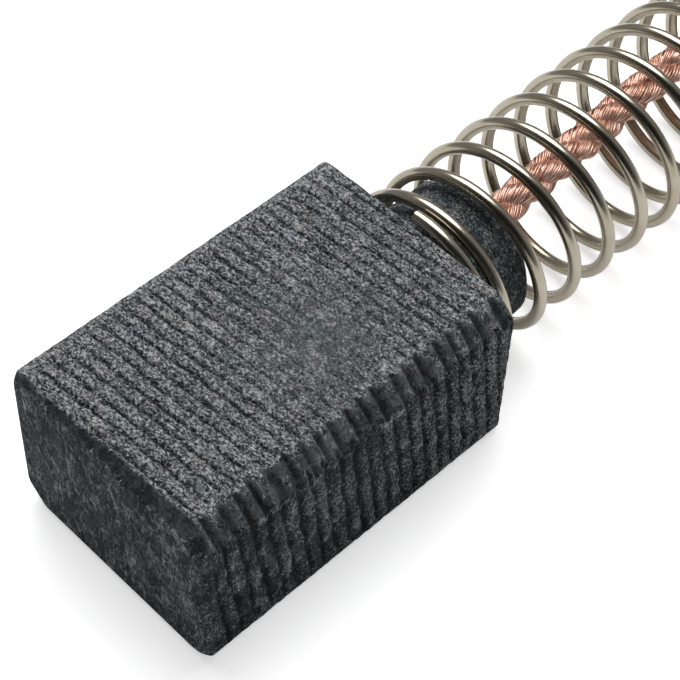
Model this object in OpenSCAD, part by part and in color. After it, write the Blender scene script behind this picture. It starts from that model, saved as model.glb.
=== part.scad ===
// Carbon brush with a spring over its boss, a stranded copper shunt inside the spring,
// and a stamped brass contact cap that closes the spring's free end.
// Origin: centre of the contact face. +X runs along the brush to the cap, +Z is up.

/* [Carbon block] */
// Length of the carbon block, from the contact face to the rear face
block_l = 13; // [8:0.1:30]
// Width of the carbon block
block_w = 8.6; // [6:0.1:20]
// Thickness of the carbon block
block_t = 6.4; // [4:0.1:14]
// Width of the bevel along two diagonally opposite long edges, measured on each face
long_bevel = 0.7; // [0.2:0.05:1.2]
// Radius of the other two long edges
long_round = 0.4; // [0.1:0.05:0.8]
// Width of the chamfer between the contact face and the wide faces
front_chamfer = 0.3; // [0.1:0.05:0.8]
// Radius of the edges between the contact face and the narrow faces
front_round = 0.3; // [0.1:0.05:0.8]

/* [Ridges] */
// Distance between the ridges across the two wide faces
wide_ridge_pitch = 0.49; // [0.3:0.01:1.2]
// Depth of the grooves between the ridges of the wide faces
wide_ridge_depth = 0.06; // [0.02:0.01:0.15]
// Lean of the ridges of the wide faces, in degrees
wide_ridge_lean = 4; // [-10:0.5:10]
// Distance between the ridges across the two narrow faces
side_ridge_pitch = 0.57; // [0.3:0.01:1.2]
// Depth of the grooves between the ridges of the narrow faces
side_ridge_depth = 0.1; // [0.02:0.01:0.15]
// Lean of the ridges of the narrow faces, in degrees
side_ridge_lean = -8; // [-10:0.5:10]
// Share of each pitch that the groove between two ridges takes
groove_share = 0.4; // [0.2:0.05:0.8]

/* [Boss] */
// Length of the boss behind the rear face
boss_l = 2.9; // [1.5:0.1:6]
// Play between the boss and the inside of the spring, all round
boss_play = 0.3; // [0.1:0.05:0.5]
// Chamfer at the free edge of the boss
boss_chamfer = 0.25; // [0.05:0.05:0.4]
// Diameter of the hole for the shunt in the boss
shunt_bore_d = 2.4; // [1.6:0.1:3.2]
// Depth of the hole for the shunt, from the end of the boss
shunt_bore_l = 4.5; // [3:0.1:7]

/* [Spring] */
// Outside diameter of the spring
spring_od = 6.8; // [5.2:0.1:12]
// Diameter of the spring wire
wire_d = 0.45; // [0.25:0.05:0.8]
// Distance between the open turns of the spring
spring_pitch = 1.7; // [1:0.05:4]
// Number of turns of the spring, with its closed ends
spring_turns = 13.75; // [6:0.25:20]
// Part of a turn that lies closed at each end
closed_turns = 0.75; // [0.5:0.05:1.5]
// Part of a turn over which a closed end opens to the full pitch
opening_turns = 0.7; // [0.3:0.05:1.5]
// Angle of the cut wire end on the rear face, from +Y towards +Z
wire_end_angle = 84; // [0:1:359]
// Gap between the wires of a closed end
closed_gap = 0.05; // [0.01:0.01:0.2]

/* [Shunt] */
// Diameter of the shunt, over its strands
shunt_d = 1.35; // [0.6:0.05:1.6]
// Number of strands that are laid up into the shunt
strands = 3; // [3:1:7]
// Length along the shunt in which a strand goes once round, right-handed
lay_length = 4; // [3:0.25:12]
// Sideways bow of the shunt inside the spring, where its slack is
shunt_bow = 1.14; // [0:0.02:1.4]
// Distance from the end of the shunt to the foot of its hole
shunt_foot_gap = 0.3; // [0.1:0.05:1]

/* [Contact cap] */
// Width of the cap's flange, along Y
cap_w = 9; // [7:0.1:16]
// Corner radius of the flange
cap_corner_r = 1.2; // [0.3:0.1:3]
// Thickness of the sheet that the cap is drawn from
sheet = 0.4; // [0.25:0.05:0.8]
// Depth of the cup that reaches into the spring, from the flange's inner face
cup_l = 1.6; // [1:0.1:3]
// Play between the cup and the inside of the spring, all round
cup_play = 0.1; // [0.05:0.05:0.4]
// Outer bend radius of the drawn sheet
bend_r = 0.5; // [0.45:0.05:0.9]
// Diameter of the solder joint at the foot of the cup
solder_d = 3; // [2:0.1:4]
// Height of the solder joint
solder_h = 0.9; // [0.7:0.05:1.1]

/* [Clearances] */
// Gap between a spring end and the face that it bears on
seat_gap = 0.01; // [0.005:0.005:0.05]
// Gap around the shunt where it is held or passes through a hole
shunt_gap = 0.03; // [0.01:0.01:0.08]

/* [Hidden] */
$fn = 64;

// The common axis of boss, spring, shunt and cap runs through the middle of the block. Where the spring
// is wider than the block is thick, it lies higher, so that the spring clears the face the block lies on.
rest_z = -block_t / 2;
axis_z = max(0, rest_z + spring_od / 2 + seat_gap);

spring_mean_r = (spring_od - wire_d) / 2;
spring_id = spring_od - 2 * wire_d;
closed_pitch = wire_d + closed_gap;
boss_d = spring_id - 2 * boss_play;
boss_end_x = block_l + boss_l;
cup_d = spring_id - 2 * cup_play;

// The boss is rooted in the middle of the block
boss_root_x = block_l / 2;
// How far the ridged slabs reach past the block, so that leaning ridges still cover its corners
slab_margin = 2;
reach = block_w + block_t;
// How far a cut runs on past the face that it opens
cut_past = 1;

// A spring end: the closed part rises by little more than a wire each turn, and then it opens evenly
// to the full pitch
function rise(turn) =
    let (share = min(max((turn - closed_turns) / opening_turns, 0), 1),
         full = max(turn - closed_turns - opening_turns, 0))
    closed_pitch * turn + (spring_pitch - closed_pitch) * (opening_turns * share * share / 2 + full);
function wire_x(turn) = turn < spring_turns / 2
    ? rise(turn) : 2 * rise(spring_turns / 2) - rise(spring_turns - turn);

// Part of a turn on either side of a point, between which the slope of the wire is taken
turn_step = 0.01;

spring_x = block_l + seat_gap + wire_d / 2;
spring_end_x = spring_x + wire_x(spring_turns) + wire_d / 2;
flange_x = spring_end_x + seat_gap;
cup_foot_x = flange_x - cup_l;
joint_x = cup_foot_x + sheet;
bore_foot_x = boss_end_x - shunt_bore_l;
shunt_start_x = bore_foot_x + shunt_foot_gap;
shunt_end_x = joint_x + solder_h / 2;
// Shares of the shunt's free length: it leaves the axis in the first, drifts on to its full bow
// in the second, and comes back to the axis in the last
bow_leave = 0.14;
bow_drift = 0.85;
bow_return = 0.25;
// Share of the bow that the shunt takes on where it leaves the axis
leave_bow = 0.37;
// Radius of a strand's lobe, as a share of the radius over the strands
lobe_share = 0.52;

wire_sides = 8;
rings_per_turn = 24;
points_per_strand = 8;
shunt_rings = 88;
edge_steps = 3;
bend_steps = 6;
dome_steps = 10;

function smooth(t) = let (s = min(max(t, 0), 1)) s * s * (3 - 2 * s);
function unit(v) = v / norm(v);
function arc(centre, r, from, to, steps = bend_steps) =
    [for (i = [0:steps]) let (a = from + (to - from) * i / steps) centre + r * [cos(a), sin(a)]];

// A closed tube through rings that all have the same number of points
module tube(rings) {
    sides = len(rings[0]);
    last = (len(rings) - 1) * sides;
    polyhedron(
        points = [for (ring = rings) for (point = ring) point],
        faces = concat(
            [[for (s = [0:sides - 1]) s]],
            [for (r = [0:sides:last - 1]) for (s = [0:sides - 1]) let (n = (s + 1) % sides)
                [r + s, r + sides + s, r + sides + n]],
            [for (r = [0:sides:last - 1]) for (s = [0:sides - 1]) let (n = (s + 1) % sides)
                [r + s, r + sides + n, r + n]],
            [[for (s = [sides - 1:-1:0]) last + s]]
        ));
}

// A round piece on the common axis: its profile has X along the axis and Y outwards
module turned(profile) {
    translate([0, 0, axis_z]) rotate([0, 90, 0]) rotate_extrude() polygon([for (p = profile) [p.y, p.x]]);
}

// Outline of a slab with grooves across two opposite faces, X along the block and Y through it
function ridged_outline(thick, pitch, depth) =
    let (count = ceil((block_l + 2 * slab_margin) / pitch),
         groove = pitch * groove_share,
         edge = [for (i = [0:count - 1]) let (x = i * pitch - slab_margin)
             for (p = [[x, thick / 2], [x + pitch - groove, thick / 2],
                       [x + pitch - groove / 2, thick / 2 - depth]]) p])
    concat(edge, [for (i = [len(edge) - 1:-1:0]) [edge[i].x, -edge[i].y]]);

// Section of the block: two diagonally opposite long edges are bevelled and the other two are rounded
module long_edges() {
    y = block_w / 2;
    z = block_t / 2;
    c = long_bevel;
    r = long_round;
    rotate([90, 0, 90]) linear_extrude(block_l)
        polygon(concat(
            [[y - c, -z], [y, c - z]],
            arc([y - r, z - r], r, 0, 90, edge_steps),
            [[c - y, z], [-y, z - c]],
            arc([r - y, r - z], r, 180, 270, edge_steps)
        ));
}

// Plan of the block, with the rounded upright edges of the contact face
module front_plan() {
    y = block_w / 2;
    r = front_round;
    linear_extrude(reach, center = true)
        polygon(concat(
            arc([r, y - r], r, 90, 180, edge_steps),
            arc([r, r - y], r, 180, 270, edge_steps),
            [[block_l, -y], [block_l, y]]
        ));
}

// Side view of the block, with the chamfers above and below the contact face
module front_profile() {
    z = block_t / 2;
    c = front_chamfer;
    rotate([90, 0, 0]) linear_extrude(reach, center = true)
        polygon([[0, c - z], [c, -z], [block_l, -z], [block_l, z], [c, z], [0, z - c]]);
}

module wide_face_ridges() {
    rotate([90, 0, wide_ridge_lean]) linear_extrude(reach, center = true)
        polygon(ridged_outline(block_t, wide_ridge_pitch, wide_ridge_depth));
}

module side_face_ridges() {
    rotate([0, side_ridge_lean, 0]) linear_extrude(reach, center = true)
        polygon(ridged_outline(block_w, side_ridge_pitch, side_ridge_depth));
}

// The pressed block: ridged wide and narrow faces, a boss behind it and the blind hole for the shunt
module carbon_block() {
    color([0.23, 0.25, 0.28]) difference() {
        union() {
            intersection() {
                long_edges();
                front_plan();
                front_profile();
                wide_face_ridges();
                side_face_ridges();
            }
            turned([[boss_root_x, 0], [boss_root_x, boss_d / 2], [boss_end_x - boss_chamfer, boss_d / 2],
                    [boss_end_x, boss_d / 2 - boss_chamfer], [boss_end_x, 0]]);
        }
        translate([bore_foot_x, 0, axis_z]) rotate([0, 90, 0])
            cylinder(d = shunt_bore_d, h = shunt_bore_l + cut_past);
    }
}

// Copper powder, tamped into the hole around the end of the shunt
module tamped_packing() {
    held_r = shunt_d / 2 + shunt_gap;
    held_x = shunt_start_x - shunt_gap;
    color([0.45, 0.3, 0.24])
        turned([[bore_foot_x, 0], [bore_foot_x, shunt_bore_d / 2], [boss_end_x, shunt_bore_d / 2],
                [boss_end_x, held_r], [held_x, held_r], [held_x, 0]]);
}

// Compression spring of round wire, right-handed, with a closed turn at each end
module spring() {
    steps = ceil(spring_turns * rings_per_turn);
    turn_l = 2 * PI * spring_mean_r;
    color([0.66, 0.64, 0.56]) tube([for (i = [0:steps])
        let (turn = spring_turns * i / steps,
             angle = wire_end_angle + 360 * turn,
             outward = [0, cos(angle), sin(angle)],
             slope = (wire_x(turn + turn_step) - wire_x(turn - turn_step)) / (2 * turn_step),
             along = unit([slope, -turn_l * sin(angle), turn_l * cos(angle)]),
             across = cross(along, outward),
             centre = [spring_x + wire_x(turn), 0, axis_z] + spring_mean_r * outward)
        [for (s = [0:wire_sides - 1]) let (a = 360 * s / wire_sides)
            centre + wire_d / 2 * (cos(a) * outward + sin(a) * across)]]);
}

// Section of the laid-up strands: each strand is a round lobe that is pressed against its neighbours
function strand_edge(a) =
    let (lobe_r = lobe_share * shunt_d / 2, offset_r = shunt_d / 2 - lobe_r)
    offset_r * cos(a) + sqrt(lobe_r * lobe_r - pow(offset_r * sin(a), 2));

// Stranded copper shunt, from the packing through the spring to the solder joint
module shunt() {
    free_l = cup_foot_x - boss_end_x;
    color([0.8, 0.5, 0.4]) tube([for (i = [0:shunt_rings])
        let (x = shunt_start_x + (shunt_end_x - shunt_start_x) * i / shunt_rings,
             t = (x - boss_end_x) / free_l,
             out = leave_bow * smooth(t / bow_leave) + (1 - leave_bow) * smooth(t / bow_drift),
             bow = shunt_bow * out * smooth((1 - t) / bow_return),
             twist = 360 * x / lay_length)
        [for (s = [0:strands * points_per_strand - 1])
            let (a = 360 * s / (strands * points_per_strand),
                 r = strand_edge(abs((a + 180 / strands) % (360 / strands) - 180 / strands)))
            [x, bow + r * cos(a + twist), axis_z + r * sin(a + twist)]]]);
}

// Drawn brass cap: a cup that centres the spring, and a flange as tall as the spring that it bears on
module contact_cap() {
    outer_r = cup_d / 2;
    inner_r = outer_r - sheet;
    hole_r = shunt_d / 2 + shunt_gap;
    inside_bend_r = bend_r - sheet;
    face_x = flange_x + sheet;
    collar_r = outer_r + sheet;
    color([0.8, 0.65, 0.35]) {
        turned(concat(
            [[cup_foot_x, hole_r]],
            arc([cup_foot_x + bend_r, outer_r - bend_r], bend_r, 180, 90),
            [[flange_x, outer_r], [flange_x, collar_r], [face_x, collar_r]],
            arc([face_x - inside_bend_r, inner_r + inside_bend_r], inside_bend_r, 0, -90),
            arc([joint_x + inside_bend_r, inner_r - inside_bend_r], inside_bend_r, 90, 180),
            [[joint_x, hole_r]]
        ));
        difference() {
            translate([flange_x, 0, axis_z]) rotate([90, 0, 90]) linear_extrude(sheet) flange_outline();
            translate([flange_x - cut_past, 0, axis_z]) rotate([0, 90, 0])
                cylinder(r = (outer_r + collar_r) / 2, h = sheet + 2 * cut_past);
        }
    }
}

module flange_outline() {
    y = cap_w / 2 - cap_corner_r;
    z = spring_od / 2 - cap_corner_r;
    square([cap_w, 2 * z], center = true);
    square([2 * y, spring_od], center = true);
    for (side = [-1, 1], level = [-1, 1]) translate([side * y, level * z]) circle(r = cap_corner_r);
}

// Solder that holds the end of the shunt on the outer side of the cup's foot
module solder_joint() {
    wet_r = shunt_d / 2 + shunt_gap;
    dome_r = (solder_d * solder_d / 4 + solder_h * solder_h) / (2 * solder_h);
    half_angle = asin(solder_d / 2 / dome_r);
    color([0.75, 0.75, 0.74])
        turned(concat(
            [[joint_x, wet_r]],
            arc([joint_x + solder_h - dome_r, 0], dome_r, half_angle, 0, dome_steps),
            [[shunt_end_x + shunt_gap, 0], [shunt_end_x + shunt_gap, wet_r]]
        ));
}

carbon_block();
tamped_packing();
spring();
shunt();
contact_cap();
solder_joint();
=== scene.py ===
"""Looks of the carbon brush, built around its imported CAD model. Lengths are in metres, +X runs to the cap."""

import math
from types import SimpleNamespace

import bpy
import numpy as np
from mathutils import Matrix, Vector


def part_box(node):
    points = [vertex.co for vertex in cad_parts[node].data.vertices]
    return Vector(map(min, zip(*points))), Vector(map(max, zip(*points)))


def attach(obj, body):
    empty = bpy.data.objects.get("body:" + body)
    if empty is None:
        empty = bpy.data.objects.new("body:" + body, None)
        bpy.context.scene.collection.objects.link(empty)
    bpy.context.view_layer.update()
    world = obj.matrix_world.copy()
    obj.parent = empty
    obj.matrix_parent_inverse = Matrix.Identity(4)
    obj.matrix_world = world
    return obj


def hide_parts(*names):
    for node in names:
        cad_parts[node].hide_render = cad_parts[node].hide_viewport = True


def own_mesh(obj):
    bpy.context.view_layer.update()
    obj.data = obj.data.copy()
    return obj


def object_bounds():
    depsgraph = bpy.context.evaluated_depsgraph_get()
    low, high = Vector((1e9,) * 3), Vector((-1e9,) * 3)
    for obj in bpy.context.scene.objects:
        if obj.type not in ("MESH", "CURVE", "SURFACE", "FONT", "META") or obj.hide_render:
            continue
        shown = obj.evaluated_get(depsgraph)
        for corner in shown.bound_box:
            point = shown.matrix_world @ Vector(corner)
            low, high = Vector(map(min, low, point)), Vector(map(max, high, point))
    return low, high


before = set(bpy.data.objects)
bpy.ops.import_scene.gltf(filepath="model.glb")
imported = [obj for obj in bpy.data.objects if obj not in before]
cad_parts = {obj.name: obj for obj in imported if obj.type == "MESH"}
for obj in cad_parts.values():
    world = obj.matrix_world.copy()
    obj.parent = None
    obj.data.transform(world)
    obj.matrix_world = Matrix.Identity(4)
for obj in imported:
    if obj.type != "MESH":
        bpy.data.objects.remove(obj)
cad_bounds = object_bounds()

MM = 0.001
TAU = 2 * math.pi

# ---- Sizes, read from the frame or repeated from the part ----

SEAT_GAP = 0.01 * MM
block_low, block_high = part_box("carbon_block")
spring_low, spring_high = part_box("spring")
shunt_low, shunt_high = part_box("shunt")
packing_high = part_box("tamped_packing")[1]

REAR_X = spring_low.x - SEAT_GAP
BOSS_END_X = block_high.x
CUP_FOOT_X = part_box("contact_cap")[0].x
BLOCK_LOW, BLOCK_HIGH = np.array(block_low), np.array(block_high)
HALF_WIDTH = block_high.y
HALF_THICK = block_high.z
AXIS_Z = (spring_low.z + spring_high.z) / 2

LONG_BEVEL = 0.7 * MM
LONG_ROUND = 0.4 * MM
FRONT_EDGE = 0.3 * MM
BOSS_R = 2.65 * MM
BOSS_CHAMFER = 0.25 * MM
BORE_R = packing_high.y

WIRE_R = 0.225 * MM
SPRING_R = spring_high.y - WIRE_R
TURNS = 13.75
PITCH = 1.7 * MM
CLOSED_PITCH = 0.5 * MM
CLOSED_TURNS = 0.75
OPENING_TURNS = 0.7
WIRE_END_ANGLE = math.radians(84)

STRANDS = 3
LAY = 4 * MM
BOW = 1.14 * MM
BOW_LEAVE, BOW_DRIFT, BOW_RETURN = 0.14, 0.85, 0.25
LEAVE_BOW = 0.37


# ---- Noise and mesh helpers ----

LATTICE_SIDE = 32
LATTICE = np.random.default_rng(11).uniform(-1, 1, (LATTICE_SIDE,) * 3)
OCTAVE_SHIFT = 7.3


def noise(points, cell, shift=0.0):
    """Smooth noise from -1 to 1 at points (..., 3), with bumps about as wide as cell."""
    q = np.asarray(points) / cell + shift
    base = np.floor(q).astype(int)
    f = q - base
    f = f * f * (3 - 2 * f)
    total = np.zeros(q.shape[:-1])
    for corner in np.ndindex(2, 2, 2):
        weight = np.prod([f[..., k] if corner[k] else 1 - f[..., k] for k in range(3)], axis=0)
        i, j, k = ((base[..., a] + corner[a]) % LATTICE_SIDE for a in range(3))
        total += weight * LATTICE[i, j, k]
    return total


def rough(points, cell, octaves=3, shift=0.0):
    """Noise with finer and weaker noise on top of it."""
    total = sum(noise(points, cell / 2 ** n, shift + OCTAVE_SHIFT * n) / 2 ** n for n in range(octaves))
    return total / (2 - 2 ** (1 - octaves))


def layered(points, layers, value=0.0, share=1.0):
    """value with share of some rough noise added to it, in layers of (weight, cell, octaves, shift)."""
    for weight, cell, octaves, shift in layers:
        value = value + weight * share * rough(points, cell, octaves, shift)
    return value


def ease(t):
    """From 0 to 1 as t runs from 0 to 1, level at both ends."""
    t = np.clip(t, 0, 1)
    return t * t * (3 - 2 * t)


def past(value, start, width):
    """0 up to start, and 1 from width past it."""
    return ease((value - start) / width)


def short_of(value, end, width):
    """1 up to width short of end, and 0 from end on."""
    return ease((end - value) / width)


def skin(name, rings, caps=(True, True)):
    """A mesh through rings, an array (rings, points, 3), with a fan over each end that caps asks for."""
    count, sides = rings.shape[:2]
    points = [tuple(p) for p in rings.reshape(-1, 3)]
    faces = []
    for r in range(count - 1):
        a, b = r * sides, (r + 1) * sides
        for s in range(sides):
            n = (s + 1) % sides
            faces.append((a + s, a + n, b + n, b + s))
    for cap, ring, flip in ((caps[0], 0, True), (caps[1], count - 1, False)):
        if cap:
            points.append(tuple(rings[ring].mean(0)))
            middle, a = len(points) - 1, ring * sides
            for s in range(sides):
                n = (s + 1) % sides
                faces.append((middle, a + n, a + s) if flip else (middle, a + s, a + n))
    mesh = bpy.data.meshes.new(name)
    mesh.from_pydata(points, [], faces)
    mesh.polygons.foreach_set("use_smooth", [True] * len(mesh.polygons))
    mesh.update()
    piece = bpy.data.objects.new(name, mesh)
    bpy.context.scene.collection.objects.link(piece)
    return piece


def joined(name, pieces):
    """One object from several that share a material."""
    with bpy.context.temp_override(active_object=pieces[0], object=pieces[0],
                                   selected_editable_objects=pieces, selected_objects=pieces):
        bpy.ops.object.join()
    pieces[0].name = name
    pieces[0].data.name = name
    return pieces[0]


def point_attribute(piece, name, values):
    """Values for the points of a skin's rings. The middle of a fan, after them, gets the last one."""
    attribute = piece.data.attributes.new(name, "FLOAT", "POINT")
    missing = len(piece.data.vertices) - len(values)
    padded = np.concatenate([values, np.full(missing, values[-1])])
    attribute.data.foreach_set("value", padded.astype(np.float32))


def grid_normals(rings):
    """Outward normals of a grid of rings that runs along +X with its points turning from +Y to +Z."""
    along = np.gradient(rings, axis=0)
    around = (np.roll(rings, -1, axis=1) - np.roll(rings, 1, axis=1)) / 2
    n = np.cross(around, along)
    return n / np.maximum(np.linalg.norm(n, axis=-1, keepdims=True), 1e-12)


# ---- Carbon block: rings ----

OUTLINE_POINTS = 256
FILLET_POINTS = 7
BEVEL_FILLET = 0.12 * MM
FACE_RINGS = 34
FACE_START = 0.02
FRONT_RINGS = 7
BODY_RINGS = 262
REAR_ROUND = 0.12 * MM
REAR_ROUND_RINGS = 5
REAR_RINGS = 14
BOSS_ROOT = 0.1 * MM
BOSS_START = 0.06 * MM
BOSS_RINGS = 30
CHAMFER_RINGS = 4
BOSS_END_RINGS = 8
BORE_EDGE = 0.05 * MM
BORE_DEPTHS = (0.05 * MM, 0.3 * MM, 0.6 * MM)


def outline(half_y, half_z):
    """Section of the block, as (points, 2): two long edges bevelled, and the other two rounded."""
    c = LONG_BEVEL
    corners = [((half_y, c - half_z), BEVEL_FILLET), ((half_y, half_z), LONG_ROUND),
               ((c - half_y, half_z), BEVEL_FILLET), ((-half_y, half_z - c), BEVEL_FILLET),
               ((-half_y, -half_z), LONG_ROUND), ((half_y - c, -half_z), BEVEL_FILLET)]
    path = []
    for i, (corner, fillet) in enumerate(corners):
        corner = np.array(corner)
        before = np.array(corners[i - 1][0]) - corner
        after = np.array(corners[(i + 1) % len(corners)][0]) - corner
        start = corner + before / np.linalg.norm(before) * fillet
        end = corner + after / np.linalg.norm(after) * fillet
        for t in np.linspace(0, 1, FILLET_POINTS):
            path.append((1 - t) ** 2 * start + 2 * t * (1 - t) * corner + t * t * end)
    path = np.array(path + path[:1])
    length = np.concatenate([[0], np.cumsum(np.linalg.norm(np.diff(path, axis=0), axis=1))])
    where = np.linspace(0, length[-1], OUTLINE_POINTS, endpoint=False)
    return np.stack([np.interp(where, length, path[:, k]) for k in (0, 1)], axis=1)


def section(x, inset_y=0.0, inset_z=0.0):
    """Ring of the block at x, drawn in from its narrow and its wide faces."""
    edge = outline(HALF_WIDTH - inset_y, HALF_THICK - inset_z)
    return np.column_stack([np.full(len(edge), x), edge])


def scaled_ring(ring, share):
    """The ring drawn in towards the middle of the block."""
    middle = np.array([ring[0, 0], 0, 0])
    return middle + (ring - middle) * share


def round_ring(x, radius, like):
    """Circle about the common axis, with its points at the angles of the points of like."""
    angle = np.arctan2(like[:, 2] - AXIS_Z, like[:, 1])
    return np.column_stack([np.full(len(like), x), radius * np.cos(angle), AXIS_Z + radius * np.sin(angle)])


def block_rings():
    """Rings over the contact face, along the block, over its rear face and the boss, and into the bore."""
    face_edge = section(0, FRONT_EDGE, FRONT_EDGE)
    rings = [scaled_ring(face_edge, share) for share in np.linspace(FACE_START, 1, FACE_RINGS)]
    for angle in np.linspace(0, math.pi / 2, FRONT_RINGS)[1:]:
        x = FRONT_EDGE * (1 - math.cos(angle))
        rings.append(section(x, FRONT_EDGE * (1 - math.sin(angle)), FRONT_EDGE - x))
    for x in np.linspace(FRONT_EDGE, REAR_X - REAR_ROUND, BODY_RINGS)[1:]:
        rings.append(section(x))
    for angle in np.linspace(0, math.pi / 2, REAR_ROUND_RINGS)[1:]:
        inset = REAR_ROUND * (1 - math.cos(angle))
        rings.append(section(REAR_X - REAR_ROUND + REAR_ROUND * math.sin(angle), inset, inset))
    outer = rings[-1]
    root = round_ring(REAR_X, BOSS_R + BOSS_ROOT, outer)
    for t in np.linspace(0, 1, REAR_RINGS)[1:]:
        rings.append(outer + (root - outer) * t)
    for x in np.linspace(REAR_X + BOSS_START, BOSS_END_X - BOSS_CHAMFER, BOSS_RINGS):
        rings.append(round_ring(x, BOSS_R, outer))
    for t in np.linspace(0, 1, CHAMFER_RINGS)[1:]:
        rings.append(round_ring(BOSS_END_X - BOSS_CHAMFER * (1 - t), BOSS_R - BOSS_CHAMFER * t, outer))
    for radius in np.linspace(BOSS_R - BOSS_CHAMFER, BORE_R + BORE_EDGE, BOSS_END_RINGS)[1:]:
        rings.append(round_ring(BOSS_END_X, radius, outer))
    for depth in BORE_DEPTHS:
        rings.append(round_ring(BOSS_END_X - depth, BORE_R, outer))
    return np.array(rings)


# ---- Carbon block: relief ----
# Noise is in layers of (weight, cell, octaves, shift), as layered() takes it

# Ridges of the wide and of the narrow faces. A ridge climbs at its front, and drops over its last share, its fall
WIDE_PITCH = 0.49 * MM
WIDE_DEPTH = 0.055 * MM
WIDE_LEAN = math.radians(4)
WIDE_FALL = 0.14
SIDE_PITCH = 0.572 * MM
SIDE_DEPTH = 0.08 * MM
SIDE_LEAN = math.radians(8)
SIDE_FALL = 0.35
TOOTH_RISE = 0.32
# What bends the ridges, and what makes them stronger and weaker from place to place
RIDGE_WOBBLE = ((0.13, 1.6 * MM, 3, 3.1), (0.16, 0.35 * MM, 2, 9.7))
SIDE_WOBBLE = 1.3
RIDGE_STRENGTH = ((0.3, 2.6 * MM, 3, 5.5), (0.5, 0.6 * MM, 2, 8.3))
LEAST_STRENGTH, MOST_STRENGTH = 0.1, 1.5
# Weight of the narrow faces' grooves in the painted groove shade; the wide faces' grooves weigh 1
SIDE_HOLLOW_SHADE = 0.8

# Where the ridges die out: past a face, at the rounded edges, at the bevels and at both ends of the block
FACE_MARGIN, FACE_BLEND = 0.22 * MM, 0.16 * MM
ROUND_MARGIN, WIDE_ROUND_BLEND, SIDE_ROUND_BLEND = 0.3 * MM, 0.45 * MM, 0.5 * MM
BEVEL_MARGIN, BEVEL_BLEND, LEFT_AT_BEVEL = 0.05 * MM, 0.5 * MM, 0.25
END_MARGIN, FRONT_BLEND, REAR_BLEND = 0.05 * MM, 0.2 * MM, 0.25 * MM

# Where the ridges of the wide faces are worn flat
FADED_X, FADED_Y = 7.5 * MM, -1.2 * MM
FADED_SIZE = 2.6 * MM
FADED_SHARE = 0.9

SCALLOP_PITCH = 0.62 * MM
SCALLOP_DEPTH = 0.1 * MM
SCALLOP_FALL = 0.45
SCALLOP_WOBBLE = ((0.25, 0.9 * MM, 1, 1.9),)
BEVEL_CHIPS = ((0.05 * MM, 0.4 * MM, 3, 6.1),)
# How far outside a bevel a point starts to count as part of it, and over what depth
BEVEL_START, BEVEL_EDGE = -0.06 * MM, 0.08 * MM

# The chamfer worn over the contact face: its width at +Y, what it gains towards -Y, and where it gains it
WORN_WIDTH, WORN_GAIN = 0.28 * MM, 0.2 * MM
WORN_GAIN_Y, WORN_GAIN_WIDTH = 2.5 * MM, 6 * MM
WORN_CHIPS = ((0.08 * MM, 0.45 * MM, 3, 8.8),)
# How far its tone goes past it, how soft that edge is, and how far down from the upper face it is looked for
WORN_BEYOND, WORN_EDGE, WORN_DOWN = 0.02 * MM, 0.06 * MM, 0.6 * MM

# Where the contact face ends along X and how soft that is, and how far short of the rear face the boss begins
FACE_END_X, FACE_EDGE = 0.12 * MM, 0.1 * MM
BLOCK_MARGIN = 0.02 * MM
GRAIN_HEIGHT, GRAIN_CELL = 0.024 * MM, 0.24 * MM
FACE_GRAIN_HEIGHT, FACE_GRAIN_CELL, FACE_GRAIN_SHIFT = 0.006 * MM, 0.25 * MM, 2.2
FACE_GRAIN_STRETCH = np.array([1, 1, 0.15])
ALONG_X = np.array([1, 0, 0])


def sawtooth(phase, fall):
    """One tooth a turn of phase: it rises from 0, and falls back over the last share fall."""
    p = phase % 1
    rising = ease(p / (TOOTH_RISE * (1 - fall)))
    return np.where(p < 1 - fall, rising, 1 - ease((p - 1 + fall) / fall))


def ridges(points):
    """Four values for each point: the height of its ridge, how deep in a groove it is, which sets the painted
    shade there, how far on a wide face, and how far in the worn patch."""
    x, y, z = points[..., 0], points[..., 1], points[..., 2]
    upper = np.where(z > 0, 1, -1)
    left = np.where(y > 0, 1, -1)
    wobble = layered(points, RIDGE_WOBBLE)
    wide = sawtooth((x + y * math.tan(WIDE_LEAN)) / WIDE_PITCH + wobble, WIDE_FALL)
    side = sawtooth(-(x + z * math.tan(SIDE_LEAN)) / SIDE_PITCH - SIDE_WOBBLE * wobble, SIDE_FALL)
    on_wide = past(np.abs(z), HALF_THICK - FACE_MARGIN, FACE_BLEND)
    on_side = past(np.abs(y), HALF_WIDTH - FACE_MARGIN, FACE_BLEND) * (1 - on_wide)
    faded = np.exp(-(((x - FADED_X) ** 2 + (y - FADED_Y) ** 2) / FADED_SIZE ** 2))
    strength = np.clip(layered(points, RIDGE_STRENGTH, 1.0), LEAST_STRENGTH, MOST_STRENGTH)
    strength = strength * (1 - FADED_SHARE * on_wide * faded)
    off_bevel = past(HALF_WIDTH - LONG_BEVEL + y * upper, BEVEL_MARGIN, BEVEL_BLEND)
    on_wide_ridge = on_wide * strength * short_of(y * upper, HALF_WIDTH - ROUND_MARGIN, WIDE_ROUND_BLEND)
    on_wide_ridge = on_wide_ridge * (LEFT_AT_BEVEL + (1 - LEFT_AT_BEVEL) * off_bevel)
    on_side_ridge = on_side * strength * short_of(z * left, HALF_THICK - ROUND_MARGIN, SIDE_ROUND_BLEND)
    height = on_wide_ridge * WIDE_DEPTH * (wide - 1) + on_side_ridge * SIDE_DEPTH * (side - 1)
    # How deep in a groove each point lies, which sets the painted shade in the grooves
    hollow = on_wide_ridge * (1 - wide) + SIDE_HOLLOW_SHADE * on_side_ridge * (1 - side)
    return height, hollow, on_wide, faded


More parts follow.
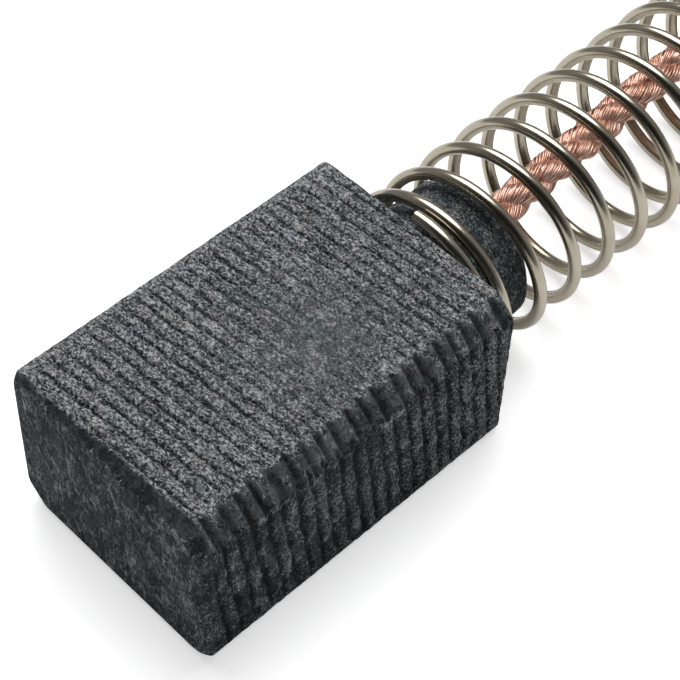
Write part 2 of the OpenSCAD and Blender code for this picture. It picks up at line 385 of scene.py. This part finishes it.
def bevelled(points):
    """Points cut back to the scalloped bevels of two long edges, how far outside them each one lay, and the
    scallops."""
    x, y, z = points[..., 0], points[..., 1], points[..., 2]
    way = np.where(z > y, 1, -1)
    scallop = sawtooth(-x / SCALLOP_PITCH + layered(points * ALONG_X, SCALLOP_WOBBLE), SCALLOP_FALL)
    depth = layered(points, BEVEL_CHIPS, SCALLOP_DEPTH * (1 - scallop))
    outside = (np.abs(z - y) - (HALF_WIDTH + HALF_THICK - LONG_BEVEL)) / math.sqrt(2) + depth
    outward = way[..., None] * np.array([0, -1, 1]) / math.sqrt(2)
    moved = points - outward * np.maximum(outside, 0)[..., None]
    return moved, outside, scallop


def worn_front(points):
    """Points cut back to the chamfer over the contact face, which widens towards -Y on the upper face."""
    x, y, z = points[..., 0], points[..., 1], points[..., 2]
    width = WORN_WIDTH + WORN_GAIN * short_of(y, WORN_GAIN_Y, WORN_GAIN_WIDTH)
    width = layered(points, WORN_CHIPS, width)
    over = z - (HALF_THICK - np.maximum(width - x, 0))
    moved = points.copy()
    moved[..., 2] -= np.maximum(over, 0)
    return moved, short_of(x, width + WORN_BEYOND, WORN_EDGE) * (z > HALF_THICK - WORN_DOWN)


def carbon_relief(rings):
    """The rings with all relief on them, and for each point how much of it is front, wide, narrow and so on."""
    at = SimpleNamespace()
    x = rings[..., 0]
    block = x < REAR_X - BLOCK_MARGIN
    at.boss = 1 - block
    at.front = short_of(x, FACE_END_X, FACE_EDGE)
    at.along = past(x - FRONT_EDGE, END_MARGIN, FRONT_BLEND) * short_of(x, REAR_X - END_MARGIN, REAR_BLEND)
    height, at.hollow, on_wide, at.faded = ridges(rings)
    height *= at.along
    height = height + GRAIN_HEIGHT * rough(rings, GRAIN_CELL) * (1 - at.front)
    face_grain = rough(rings * FACE_GRAIN_STRETCH, FACE_GRAIN_CELL, shift=FACE_GRAIN_SHIFT)
    height = height + FACE_GRAIN_HEIGHT * face_grain * at.front
    points = rings + grid_normals(rings) * height[..., None]
    bevelled_points, at.outside, at.scallop = bevelled(points)
    at.bevel = past(at.outside, BEVEL_START, BEVEL_EDGE) * block * (1 - at.front)
    points, worn = worn_front(np.where(block[..., None], bevelled_points, points))
    points = np.where(block[..., None], np.clip(points, BLOCK_LOW, BLOCK_HIGH), points)
    at.worn = worn * block * (1 - at.front)
    at.wide = on_wide * (1 - at.bevel) * (1 - at.worn) * block * (1 - at.front)
    at.narrow = block * (1 - at.front) * (1 - at.wide) * (1 - at.bevel) * (1 - at.worn)
    return points, at


# ---- Carbon block: tone, painted shade and grain ----

# How pale each part of the block is, painted shade included, added to the grain before it is turned into colour
BASE_TONE = 0.4
WIDE_TONE, FADED_TONE = 0.078, -0.03
NARROW_TONE, REARWARD_TONE = 0.006, 0.03
# The bevels are darker, and painted shade follows their scallops: darker where each is cut deepest, paler at its
# crest
BEVEL_TONE, SCALLOP_SHADE, SCALLOP_MEAN = -0.045, 0.12, 0.3
FRONT_TONE = 0.012
WORN_TONE = -0.05
BOSS_TONE = 0.005
# Painted shade in the grooves between the ridges, and how much more of it the narrow faces get
HOLLOW_SHADE, NARROW_HOLLOW_SHADE = 0.16, 0.4
# Each scallop of the bevels has its own shade
FACET_TONE, FACET_OFFSET, FACET_CELL, FACET_SHIFT = 0.06, 0.3, 0.7 * MM, 4.7
# Pale chips on the narrow faces, in a row beside the bevels
CHIP_TONE, CHIP_FROM_BEVEL, CHIP_WIDTH = 0.2, 0.12 * MM, 0.06 * MM
CHIP_CELL, CHIP_GAIN, CHIP_SHIFT = 0.5 * MM, 1.6, 21.3
# Noise in the tone: over all of the block, and on its wide, narrow and contact faces
CLOUDS = ((0.03, 1.1 * MM, 3, 12.4),)
SPECKLE, FADED_SPECKLE = ((0.055, 0.24 * MM, 2, 15.1),), 0.7
NARROW_SPECKLE = ((0.18, 0.24 * MM, 2, 17.3),)
FRONT_SPECKLE = ((0.12, 0.5 * MM, 4, 19.9),)
UPRIGHT_STRETCH = np.array([1, 1, 0.4])
# From where the narrow faces change towards the rear, and over what length, as shares of the block
REARWARD_START, REARWARD_LENGTH = 0.45, 0.5

# How strong the grain of the material is on each part of the block
WIDE_GRAIN, FADED_GRAIN = 1.45, 0.85
NARROW_GRAIN = 1.25
FRONT_GRAIN = 1.25
OTHER_GRAIN = 0.25
MOST_GRAIN = 2


def carbon_tone_and_shade(rings, at, rearward):
    """How pale each point is, with painted shade in the grooves and in the scallops of the bevels."""
    # On the bevels, painted shade follows the scallops: darker where each is cut deepest, paler at its crest
    tone = ((WIDE_TONE + FADED_TONE * at.faded) * at.wide + NARROW_TONE * at.narrow
            + (BEVEL_TONE + SCALLOP_SHADE * (at.scallop - SCALLOP_MEAN)) * at.bevel * (1 - at.worn)
            + FRONT_TONE * at.front + WORN_TONE * at.worn + BOSS_TONE * at.boss)
    # Painted shade in the grooves, left off the bevels and dying out at both ends of the block
    groove_shade = HOLLOW_SHADE * (1 + NARROW_HOLLOW_SHADE * at.narrow) * at.hollow * at.along * (1 - at.bevel)
    beside_bevel = np.exp(-((at.outside + CHIP_FROM_BEVEL) / CHIP_WIDTH) ** 2)
    chipped = at.narrow * beside_bevel * ease(CHIP_GAIN * noise(rings, CHIP_CELL, shift=CHIP_SHIFT))
    tone = BASE_TONE + tone - groove_shade + CHIP_TONE * chipped
    tone = layered(rings, CLOUDS, tone)
    tone = layered(rings, SPECKLE, tone, share=1 - FADED_SPECKLE * at.faded)
    upright = rings * UPRIGHT_STRETCH
    tone = tone + at.narrow * layered(upright, NARROW_SPECKLE, REARWARD_TONE * rearward)
    facets = np.round(rings[..., :1] / SCALLOP_PITCH + FACET_OFFSET) * ALONG_X * MM
    tone = tone + FACET_TONE * at.bevel * noise(facets, FACET_CELL, shift=FACET_SHIFT)
    return layered(upright, FRONT_SPECKLE, tone, share=at.front)


def carbon_grain(at, rearward):
    """How strong the grain of the material is at each point."""
    grain = (WIDE_GRAIN - FADED_GRAIN * at.faded) * at.wide + at.boss
    grain = grain + (NARROW_GRAIN + rearward) * at.narrow + FRONT_GRAIN * at.front
    grain = grain + OTHER_GRAIN * (1 - at.wide - at.narrow - at.boss - at.front)
    return np.clip(grain, 0, MOST_GRAIN)


def carbon_body():
    """The block and its boss in one skin, with the point attributes that the graphite reads."""
    rings = block_rings()
    points, at = carbon_relief(rings)
    rearward = past(rings[..., 0], REARWARD_START * REAR_X, REARWARD_LENGTH * REAR_X)
    body = skin("carbon_body", points, caps=(True, False))
    point_attribute(body, "tone", carbon_tone_and_shade(rings, at, rearward).ravel())
    point_attribute(body, "front", at.front.ravel())
    point_attribute(body, "grainy", carbon_grain(at, rearward).ravel())
    return body


# ---- Spring ----

WIRE_SIDES = 16
RINGS_PER_TURN = 72
WIRE_SHARP_ANGLE = math.radians(50)


def rise(turn):
    """Distance along the axis from the start of a closed end to a turn."""
    share = np.clip((turn - CLOSED_TURNS) / OPENING_TURNS, 0, 1)
    full = np.maximum(turn - CLOSED_TURNS - OPENING_TURNS, 0)
    return CLOSED_PITCH * turn + (PITCH - CLOSED_PITCH) * (OPENING_TURNS * share * share / 2 + full)


def wire_x(turn):
    """The same over the whole spring, whose two halves mirror each other."""
    return np.where(turn < TURNS / 2, rise(turn), 2 * rise(TURNS / 2) - rise(TURNS - turn))


def swept(name, path, outward, radius, sides):
    """A round wire along path (n, 3), with a direction away from its own axis at each point, and closed ends."""
    tangent = np.gradient(path, axis=0)
    tangent /= np.linalg.norm(tangent, axis=1, keepdims=True)
    side = outward - np.sum(outward * tangent, axis=1, keepdims=True) * tangent
    side /= np.linalg.norm(side, axis=1, keepdims=True)
    other = np.cross(tangent, side)
    angle = np.linspace(0, TAU, sides, endpoint=False)
    return skin(name, path[:, None] + radius * (np.cos(angle)[None, :, None] * side[:, None]
                                                + np.sin(angle)[None, :, None] * other[:, None]))


def spoke(angle):
    """Direction across the axis at each angle, from +Y towards +Z."""
    return np.column_stack([np.zeros(len(angle)), np.cos(angle), np.sin(angle)])


def spring_wire():
    turn = np.linspace(0, TURNS, int(TURNS * RINGS_PER_TURN) + 1)
    outward = spoke(WIRE_END_ANGLE + TAU * turn)
    path = SPRING_R * outward + np.array([REAR_X + SEAT_GAP + WIRE_R, 0, AXIS_Z])
    path[:, 0] += wire_x(turn)
    wire = swept("spring_wire", path, outward, WIRE_R, WIRE_SIDES)
    wire.data.set_sharp_from_angle(angle=WIRE_SHARP_ANGLE)
    return wire


# ---- Shunt ----

# Where the shunt enters the cap: what is past it stays with the cap
SHUNT_SPLIT_X = CUP_FOOT_X - 0.05 * MM
STRAND_OFFSET = 0.25 * MM
STRAND_R = 0.375 * MM
STRAND_DRIFT, STRAND_DRIFT_CELL, STRAND_DRIFT_SHIFT = 0.35, 1.7 * MM, 3.3
CORE_SIDES = 10
CORE_INSET = 0.4
FINE_WIRES = 27
FINE_R = 0.042 * MM
FINE_SIDES = 5
FINE_LAY = 3.2 * MM
FINE_STEP = 0.12 * MM
FEWEST_RINGS = 8
FINE_DRIFT, FINE_DRIFT_CELL = 0.8, 1.1 * MM
FINE_LIFT, FINE_LIFT_CELL, FINE_LIFT_SHIFT = 0.09, 0.7 * MM, 4.4


def shunt_line(x):
    """Centre line of the shunt, as the part has it: straight at its ends, bowed towards +Y between them."""
    t = (x - BOSS_END_X) / (CUP_FOOT_X - BOSS_END_X)
    out = LEAVE_BOW * ease(t / BOW_LEAVE) + (1 - LEAVE_BOW) * ease(t / BOW_DRIFT)
    return np.column_stack([x, BOW * out * ease((1 - t) / BOW_RETURN), np.full(len(x), AXIS_Z)])


def noise_line(x, second, third):
    """Points along X to take noise at, in a row of their own for each pair of numbers."""
    return np.column_stack([x, np.full(len(x), second * MM), np.full(len(x), third * MM)])


def shunt_rope(name, low, high):
    """The shunt from low to high: strands laid up one way, each of fine wires that are twisted the other way."""
    x = np.linspace(low, high, max(round((high - low) / FINE_STEP), FEWEST_RINGS))
    line = shunt_line(x)
    wires = []
    for strand in range(STRANDS):
        drift = STRAND_DRIFT * noise(noise_line(x, strand, strand), STRAND_DRIFT_CELL, shift=STRAND_DRIFT_SHIFT)
        a = TAU * x / LAY + TAU * strand / STRANDS + drift
        centre = line + STRAND_OFFSET * spoke(a)
        wires.append(swept("core", centre, spoke(a), STRAND_R - CORE_INSET * FINE_R, CORE_SIDES))
        for fine in range(FINE_WIRES):
            place = noise_line(x, fine, strand)
            b = -TAU * x / FINE_LAY + TAU * (fine + FINE_DRIFT * noise(place, FINE_DRIFT_CELL)) / FINE_WIRES
            out = STRAND_R * (1 + FINE_LIFT * noise(place, FINE_LIFT_CELL, shift=FINE_LIFT_SHIFT))
            wires.append(swept("wire", centre + out[:, None] * spoke(b), spoke(b), FINE_R, FINE_SIDES))
    return joined(name, wires)


# ---- Node helpers ----

def new_material(name):
    material = bpy.data.materials.new(name)
    material.use_nodes = True
    return material, material.node_tree


def put(tree, socket, value):
    """Joins another node's output to the socket, or sets it to a colour or a number."""
    if isinstance(value, bpy.types.NodeSocket):
        tree.links.new(value, socket)
    elif isinstance(value, tuple):
        socket.default_value = (*value, 1)
    else:
        socket.default_value = value


def set_shader(tree, settings):
    for name, value in settings.items():
        put(tree, tree.nodes["Principled BSDF"].inputs[name], value)


def object_place(tree):
    return tree.nodes.new("ShaderNodeTexCoord").outputs["Object"]


def attribute(tree, name):
    node = tree.nodes.new("ShaderNodeAttribute")
    node.attribute_name = name
    return node.outputs["Fac"]


def noise_node(tree, place, cell, detail=4.0, roughness=0.6, stretch=(1, 1, 1), curl=0.0):
    """A noise texture with bumps about as wide as cell."""
    mapping = tree.nodes.new("ShaderNodeMapping")
    mapping.inputs["Scale"].default_value = tuple(s / cell for s in stretch)
    tree.links.new(place, mapping.inputs["Vector"])
    texture = tree.nodes.new("ShaderNodeTexNoise")
    for name, value in (("Vector", mapping.outputs["Vector"]), ("Scale", 1.0), ("Detail", detail),
                        ("Roughness", roughness), ("Distortion", curl)):
        put(tree, texture.inputs[name], value)
    return texture.outputs["Fac"]


def ramp(tree, value, stops):
    """A colour ramp over value, with stops of (place, colour), where a colour may be one grey."""
    node = tree.nodes.new("ShaderNodeValToRGB")
    elements = node.color_ramp.elements
    while len(elements) < len(stops):
        elements.new(0.5)
    for element, (place, colour) in zip(elements, stops):
        element.position = place
        element.color = (*colour, 1) if isinstance(colour, tuple) else (colour, colour, colour, 1)
    tree.links.new(value, node.inputs["Fac"])
    return node.outputs["Color"]


def mix(tree, kind, factor, a, b):
    node = tree.nodes.new("ShaderNodeMix")
    node.data_type = "RGBA"
    node.blend_type = kind
    # The sockets of a colour mix: 0 is its factor, 6 and 7 the two colours, and output 2 the result
    for socket, value in ((0, factor), (6, a), (7, b)):
        put(tree, node.inputs[socket], value)
    return node.outputs[2]


def arithmetic(tree, operation, a, b):
    node = tree.nodes.new("ShaderNodeMath")
    node.operation = operation
    for socket, value in ((0, a), (1, b)):
        put(tree, node.inputs[socket], value)
    return node.outputs[0]


def bump(tree, height, distance, strength=1.0):
    node = tree.nodes.new("ShaderNodeBump")
    for name, value in (("Strength", strength), ("Distance", distance), ("Height", height)):
        put(tree, node.inputs[name], value)
    set_shader(tree, {"Normal": node.outputs["Normal"]})


# ---- Materials ----

GRAPHITE_STOPS = [(0.3, (0.0035, 0.005, 0.0062)), (0.42, (0.0205, 0.0255, 0.0297)),
                  (0.56, (0.115, 0.122, 0.1285)), (0.74, 0.55)]
TINT_STOPS = [(0.36, (0.9, 0.99, 1.02)), (0.55, (1, 1, 1)), (0.7, (1.03, 0.995, 1.02))]
MARK_STOPS = [(0.48, 0), (0.5, 1), (0.52, 0)]
BREAK_STOPS = [(0.5, 0), (0.56, 1)]
CRACK_STOPS = [(0.46, 0), (0.48, 1), (0.5, 0)]
SPRING_STOPS = [(0.35, (0.4, 0.355, 0.275)), (0.65, (0.46, 0.425, 0.345))]
COPPER_STOPS = [(0.34, (0.34, 0.145, 0.1)), (0.47, (0.69, 0.42, 0.33)), (0.65, (0.85, 0.58, 0.48))]
BRASS_STOPS = [(0.3, (0.62, 0.42, 0.17)), (0.7, (0.78, 0.58, 0.28))]
BRASS_ROUGHNESS_STOPS = [(0.3, 0.24), (0.7, 0.42)]
SOLDER_STOPS = [(0.3, (0.42, 0.42, 0.42)), (0.7, (0.66, 0.66, 0.65))]
POWDER_STOPS = [(0.35, (0.1, 0.05, 0.035)), (0.5, (0.3, 0.15, 0.1)), (0.68, (0.62, 0.36, 0.26))]

# Settings of the noise nodes: the graphite's six, and the cap's scratches
GRAIN = dict(cell=0.085 * MM, detail=3, roughness=0.72, stretch=(1.15, 0.75, 0.75), curl=0.7)
FACE_SCRATCHES = dict(cell=0.14 * MM, roughness=0.7, stretch=(1, 1, 0.35), curl=1.5)
PATCHES = dict(cell=0.5 * MM, roughness=0.65, curl=0.8)
CURLS = dict(cell=0.8 * MM, detail=1.5, stretch=(1, 1, 0.6), curl=1.2)
BREAKS = dict(cell=0.4 * MM, detail=1)
TINT = dict(cell=0.7 * MM, detail=3)
CAP_SCRATCHES = dict(cell=0.12 * MM, detail=3, stretch=(1, 0.1, 1))

MARK_WEIGHT, CRACK_WEIGHT, PATCH_WEIGHT = 0.26, -0.08, 0.2
# Strength of the marks away from the contact face. On the face it is 1 more
MARKS_OFF_FACE = 0.5
GRAPHITE_RELIEF, GRAPHITE_BUMP = 0.14 * MM, 0.8


def graphite():
    """Pressed carbon: dark grey with pale grain, marks and cracks. The point attributes of the block steer it."""
    material, tree = new_material("graphite")
    place = object_place(tree)
    front, tone, grainy = (attribute(tree, name) for name in ("front", "tone", "grainy"))
    layers = (GRAIN, FACE_SCRATCHES, PATCHES, CURLS, BREAKS, TINT)
    grain, scratches, patches, curls, breaks, tint = (noise_node(tree, place, **layer) for layer in layers)
    texture = mix(tree, "MIX", front, grain, scratches)
    relief = arithmetic(tree, "MULTIPLY", arithmetic(tree, "SUBTRACT", texture, 0.5), grainy)
    marks = arithmetic(tree, "MULTIPLY", ramp(tree, curls, MARK_STOPS), ramp(tree, breaks, BREAK_STOPS))
    marks = arithmetic(tree, "MULTIPLY", marks, arithmetic(tree, "ADD", front, MARKS_OFF_FACE))
    cracks = ramp(tree, patches, CRACK_STOPS)
    # The tone attribute holds painted shade in the grooves and the scallops, besides the block's own tone
    value = arithmetic(tree, "ADD", relief, tone)
    for layer, weight in ((marks, MARK_WEIGHT), (cracks, CRACK_WEIGHT), (patches, PATCH_WEIGHT)):
        value = arithmetic(tree, "ADD", value, arithmetic(tree, "MULTIPLY", layer, weight))
    colour = mix(tree, "MULTIPLY", 1.0, ramp(tree, value, GRAPHITE_STOPS), ramp(tree, tint, TINT_STOPS))
    set_shader(tree, {"Base Color": colour, "Roughness": 0.7, "Specular IOR Level": 0.12})
    bump(tree, arithmetic(tree, "ADD", relief, marks), GRAPHITE_RELIEF, GRAPHITE_BUMP)
    return material


def metal(name, stops, tone, roughness=0.5, metallic=1.0, relief=None):
    """A metal whose colour, and with relief its surface too, follows noise with the settings tone."""
    material, tree = new_material(name)
    value = noise_node(tree, object_place(tree), **tone)
    set_shader(tree, {"Base Color": ramp(tree, value, stops), "Metallic": metallic, "Roughness": roughness})
    if relief:
        bump(tree, value, relief)
    return material


def spring_steel():
    return metal("spring_steel", SPRING_STOPS, dict(cell=1.5 * MM, detail=3), roughness=0.22)


def copper():
    return metal("copper", COPPER_STOPS, dict(cell=0.5 * MM, roughness=0.7), roughness=0.38)


def brass():
    """Brass with fine scratches that change its roughness."""
    material = metal("brass", BRASS_STOPS, dict(cell=0.9 * MM))
    tree = material.node_tree
    scratches = noise_node(tree, object_place(tree), **CAP_SCRATCHES)
    set_shader(tree, {"Roughness": ramp(tree, scratches, BRASS_ROUGHNESS_STOPS)})
    bump(tree, scratches, 0.006 * MM)
    return material


def tin_solder():
    return metal("tin_solder", SOLDER_STOPS, dict(cell=0.3 * MM), roughness=0.38, relief=0.03 * MM)


def copper_powder():
    return metal("copper_powder", POWDER_STOPS, dict(cell=0.1 * MM, detail=3, roughness=0.7),
                 roughness=0.6, metallic=0.6, relief=0.06 * MM)


# ---- Pieces ----

def dress(piece, material, body=None, node=None):
    """Gives a piece its material and slot and, if it is the scene's own, its body, and hides the node it stands
    for.
    """
    piece.data.materials.clear()
    piece.data.materials.append(material)
    if body:
        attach(piece, body)
    if node:
        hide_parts(node)
    return piece


def build_object():
    dress(carbon_body(), graphite(), "brush", "carbon_block")
    spring = dress(spring_wire(), spring_steel(), "brush", "spring")
    wires = copper()
    shunt = dress(shunt_rope("shunt_rope", shunt_low.x, SHUNT_SPLIT_X), wires, "brush", "shunt")
    dress(shunt_rope("shunt_end", SHUNT_SPLIT_X, shunt_high.x), wires, "terminal", "shunt")
    dress(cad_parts["tamped_packing"], copper_powder())
    dress(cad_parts["contact_cap"], brass())
    dress(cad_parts["solder_joint"], tin_solder())
    for piece, anchor_x, end_x in ((spring, REAR_X, spring_high.x), (shunt, BOSS_END_X, SHUNT_SPLIT_X)):
        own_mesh(piece)


# ---- Stage, light and camera ----

FLOOR_SIZE = 2.0
FLOOR_COLOUR = (0.82, 0.82, 0.83)
# How bright the floor is of itself, to the camera and in the metal
FLOOR_LIFT = 0.6
MIRRORED_LIFT = 0.25

WORLD_BRIGHT, WORLD_DARK = 0.3, 0.02
DARK_WAY = Vector((-0.7, -0.5, 0.55)).normalized()
DARK_START, DARK_END = 0.2, 0.8
KEY_POWER = 0.4
KEY_SIZE = 180 * MM
KEY_PLACE = Vector((60 * MM, 60 * MM, 170 * MM))
KEY_AIM = Vector((12 * MM, 0, 0))

CAMERA_AIM = Vector((9.9 * MM, 0.22 * MM, 0))
CAMERA_DISTANCE = 63.56 * MM
CAMERA_AZIMUTH = math.radians(43.6)
CAMERA_ELEVATION = math.radians(51.21)
CAMERA_ROLL = math.radians(2.74)
CAMERA_LENS = 104.4
CAMERA_SENSOR = 36
CAMERA_CLIP = 1 * MM


def pale_floor():
    """White floor: it keeps the shadow, and the camera and the metal see it as white."""
    material, tree = new_material("pale_floor")
    rays = tree.nodes.new("ShaderNodeLightPath")
    seen = arithmetic(tree, "MULTIPLY", rays.outputs["Is Camera Ray"], FLOOR_LIFT)
    mirrored = arithmetic(tree, "MULTIPLY", rays.outputs["Is Glossy Ray"], MIRRORED_LIFT)
    set_shader(tree, {"Base Color": FLOOR_COLOUR, "Roughness": 1.0, "Specular IOR Level": 0.0,
                      "Emission Color": (1, 1, 1), "Emission Strength": arithmetic(tree, "ADD", seen, mirrored)})
    return material


def build_floor():
    low = cad_bounds[0].z
    mesh = bpy.data.meshes.new("floor")
    h = FLOOR_SIZE / 2
    mesh.from_pydata([(-h, -h, low), (h, -h, low), (h, h, low), (-h, h, low)], [], [(0, 1, 2, 3)])
    floor = bpy.data.objects.new("floor", mesh)
    bpy.context.scene.collection.objects.link(floor)
    floor.data.materials.append(pale_floor())


def build_light():
    """A large soft lamp over the part, in a pale room with one dark side that the metal can show."""
    world = bpy.data.worlds.new("studio")
    world.use_nodes = True
    tree = world.node_tree
    away = tree.nodes.new("ShaderNodeVectorMath")
    away.operation = "DOT_PRODUCT"
    tree.links.new(tree.nodes.new("ShaderNodeTexCoord").outputs["Generated"], away.inputs[0])
    away.inputs[1].default_value = DARK_WAY
    shade = ramp(tree, away.outputs["Value"], [(DARK_START, WORLD_BRIGHT), (DARK_END, WORLD_DARK)])
    tree.links.new(shade, tree.nodes["Background"].inputs["Color"])
    bpy.context.scene.world = world
    lamp = bpy.data.lights.new("key", "AREA")
    lamp.shape = "DISK"
    lamp.size = KEY_SIZE
    lamp.energy = KEY_POWER
    key = bpy.data.objects.new("key", lamp)
    key.location = KEY_PLACE
    key.rotation_euler = (KEY_AIM - KEY_PLACE).to_track_quat("-Z", "Y").to_euler()
    bpy.context.scene.collection.objects.link(key)


def build_camera():
    data = bpy.data.cameras.new("camera")
    data.lens = CAMERA_LENS
    data.sensor_width = CAMERA_SENSOR
    data.clip_start = CAMERA_CLIP
    camera = bpy.data.objects.new("camera", data)
    view = Vector((math.cos(CAMERA_AZIMUTH) * math.cos(CAMERA_ELEVATION),
                   math.sin(CAMERA_AZIMUTH) * math.cos(CAMERA_ELEVATION), -math.sin(CAMERA_ELEVATION)))
    turn = view.to_track_quat("-Z", "Y").to_matrix().to_4x4() @ Matrix.Rotation(CAMERA_ROLL, 4, "Z")
    camera.matrix_world = Matrix.Translation(CAMERA_AIM - CAMERA_DISTANCE * view) @ turn
    bpy.context.scene.collection.objects.link(camera)
    bpy.context.scene.camera = camera


build_object()
build_floor()
build_light()
build_camera()
bpy.context.scene.view_settings.view_transform = "Standard"
